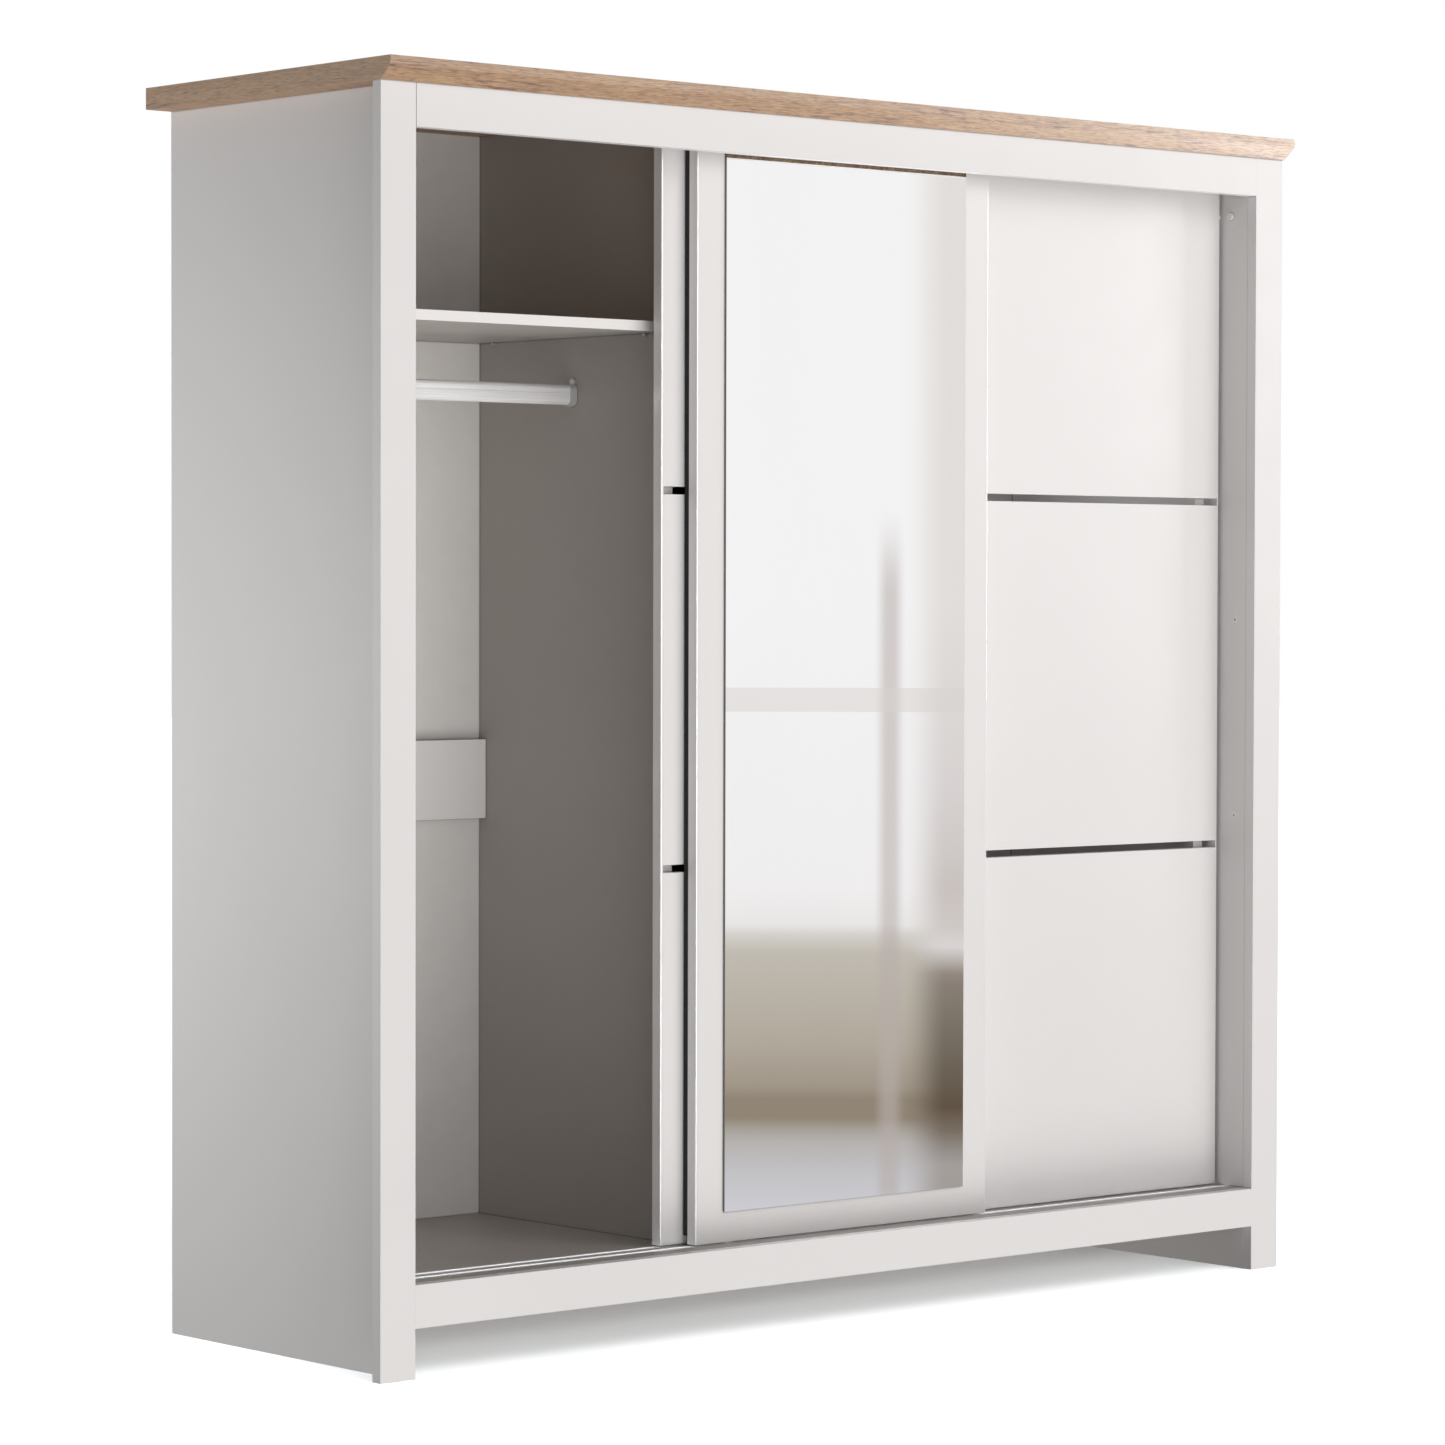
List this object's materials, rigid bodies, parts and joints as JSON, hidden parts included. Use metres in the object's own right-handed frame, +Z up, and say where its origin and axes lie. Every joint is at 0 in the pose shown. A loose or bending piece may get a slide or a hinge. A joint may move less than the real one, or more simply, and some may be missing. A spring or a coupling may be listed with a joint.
{
  "type": "sliding door wardrobe",
  "caption": "Free-standing wardrobe on a face frame with an oak-effect top, slotted white side doors and a mirror door sliding on a two-lane track over a hanging and shelf interior.",
  "frame": {"origin": "centre of the bounding box in plan, on the floor the wardrobe stands on", "axes": "+X to the right seen from the front, -Y out of the front, +Z up"},
  "size_m": [1.8, 0.583, 1.802],
  "materials": {
    "white_laminate": "matt white laminate on particle board",
    "white_doors": "satin white laminate on particle board",
    "white_interior": "matt white laminate on particle board",
    "edge_banding": "smooth white edge banding",
    "oak_decor": "textured oak-effect laminate with dark open cracks",
    "back_board": "thin lacquered fibreboard",
    "mirror": "clear silvered mirror glass",
    "rail_aluminium": "satin anodised aluminium",
    "track_aluminium": "bright extruded aluminium",
    "steel_fixings": "zinc-plated steel",
    "white_fittings": "smooth white plastic",
    "grey_plastic": "light grey moulded plastic",
    "guide_plastic": "off-white nylon",
    "brush_pile": "dense black brush pile",
    "wheel_plastic": "white nylon"
  },
  "bodies": {
    "carcass": {"top_panel": "oak_decor", "left_side_panel": "white_laminate", "right_side_panel": "white_laminate", "left_post": "white_laminate", "right_post": "white_laminate", "header_rail": "white_laminate", "plinth_rail": "white_laminate", "rear_plinth_rail": "white_interior", "floor_panel": "white_interior", "left_divider": "white_interior", "right_divider": "white_interior", "upper_back_panel": "back_board", "lower_back_panel": "back_board", "left_back_rail": "white_interior", "middle_back_rail": "white_interior", "right_back_rail": "white_interior", "left_top_shelf": "white_interior", "right_top_shelf": "white_interior", "lower_middle_shelf": "white_interior", "centre_middle_shelf": "white_interior", "upper_middle_shelf": "white_interior", "shelf_pins": "steel_fixings", "left_hanging_rail": "rail_aluminium", "right_hanging_rail": "rail_aluminium", "rail_brackets": "grey_plastic", "bracket_screws": "steel_fixings", "front_bottom_track": "track_aluminium", "rear_bottom_track": "track_aluminium", "top_guide_track": "track_aluminium", "track_screws": "steel_fixings", "cam_fittings": "white_fittings", "door_stops": "white_fittings"},
    "left_door": {"left_door_lower_panel": "white_doors", "left_door_middle_panel": "white_doors", "left_door_upper_panel": "white_doors", "left_door_edge_strips": "edge_banding", "left_door_battens": "white_doors", "left_door_batten_screws": "steel_fixings", "left_door_wheel_housings": "guide_plastic", "left_door_top_guides": "guide_plastic"},
    "mirror_door": {"mirror_door_panel": "white_doors", "mirror_door_edge_strips": "edge_banding", "mirror_glass": "mirror", "mirror_door_brush_seals": "brush_pile", "mirror_door_wheel_housings": "guide_plastic", "mirror_door_top_guides": "guide_plastic"},
    "right_door": {"right_door_lower_panel": "white_doors", "right_door_middle_panel": "white_doors", "right_door_upper_panel": "white_doors", "right_door_edge_strips": "edge_banding", "right_door_battens": "white_doors", "right_door_batten_screws": "steel_fixings", "right_door_wheel_housings": "guide_plastic", "right_door_top_guides": "guide_plastic"},
    "left_door_left_wheel": {"left_door_left_wheel": "wheel_plastic"},
    "left_door_right_wheel": {"left_door_right_wheel": "wheel_plastic"},
    "right_door_left_wheel": {"right_door_left_wheel": "wheel_plastic"},
    "right_door_right_wheel": {"right_door_right_wheel": "wheel_plastic"},
    "mirror_door_left_wheel": {"mirror_door_left_wheel": "wheel_plastic"},
    "mirror_door_right_wheel": {"mirror_door_right_wheel": "wheel_plastic"}
  },
  "joints": [
    {"name": "left_door_slide", "type": "slide", "parent": "carcass", "child": "left_door", "axis": [1, 0, 0], "range_m": [-0.497, 0.0045]},
    {"name": "mirror_door_slide", "type": "slide", "parent": "carcass", "child": "mirror_door", "axis": [1, 0, 0], "range_m": [-0.54, 0.542]},
    {"name": "right_door_slide", "type": "slide", "parent": "carcass", "child": "right_door", "axis": [1, 0, 0], "range_m": [-0.0045, 0]},
    {"name": "left_door_left_wheel_spin", "type": "hinge", "parent": "left_door", "child": "left_door_left_wheel", "pos_m": [-0.2666, -0.1835, 0.1383], "axis": [0, 1, 0], "continuous": true},
    {"name": "left_door_right_wheel_spin", "type": "hinge", "parent": "left_door", "child": "left_door_right_wheel", "pos_m": [0.1734, -0.1835, 0.1383], "axis": [0, 1, 0], "continuous": true},
    {"name": "mirror_door_left_wheel_spin", "type": "hinge", "parent": "mirror_door", "child": "mirror_door_left_wheel", "pos_m": [-0.2235, -0.212, 0.1383], "axis": [0, 1, 0], "continuous": true},
    {"name": "mirror_door_right_wheel_spin", "type": "hinge", "parent": "mirror_door", "child": "mirror_door_right_wheel", "pos_m": [0.2215, -0.212, 0.1383], "axis": [0, 1, 0], "continuous": true},
    {"name": "right_door_left_wheel_spin", "type": "hinge", "parent": "right_door", "child": "right_door_left_wheel", "pos_m": [0.3234, -0.1835, 0.1383], "axis": [0, 1, 0], "continuous": true},
    {"name": "right_door_right_wheel_spin", "type": "hinge", "parent": "right_door", "child": "right_door_right_wheel", "pos_m": [0.7634, -0.1835, 0.1383], "axis": [0, 1, 0], "continuous": true}
  ],
  "couplings": [
    {"joint": "left_door_left_wheel_spin", "follows": "left_door_slide", "rad_per_m": 90.909},
    {"joint": "left_door_right_wheel_spin", "follows": "left_door_slide", "rad_per_m": 90.909},
    {"joint": "mirror_door_left_wheel_spin", "follows": "mirror_door_slide", "rad_per_m": 90.909},
    {"joint": "mirror_door_right_wheel_spin", "follows": "mirror_door_slide", "rad_per_m": 90.909},
    {"joint": "right_door_left_wheel_spin", "follows": "right_door_slide", "rad_per_m": 90.909},
    {"joint": "right_door_right_wheel_spin", "follows": "right_door_slide", "rad_per_m": 90.909}
  ]
}
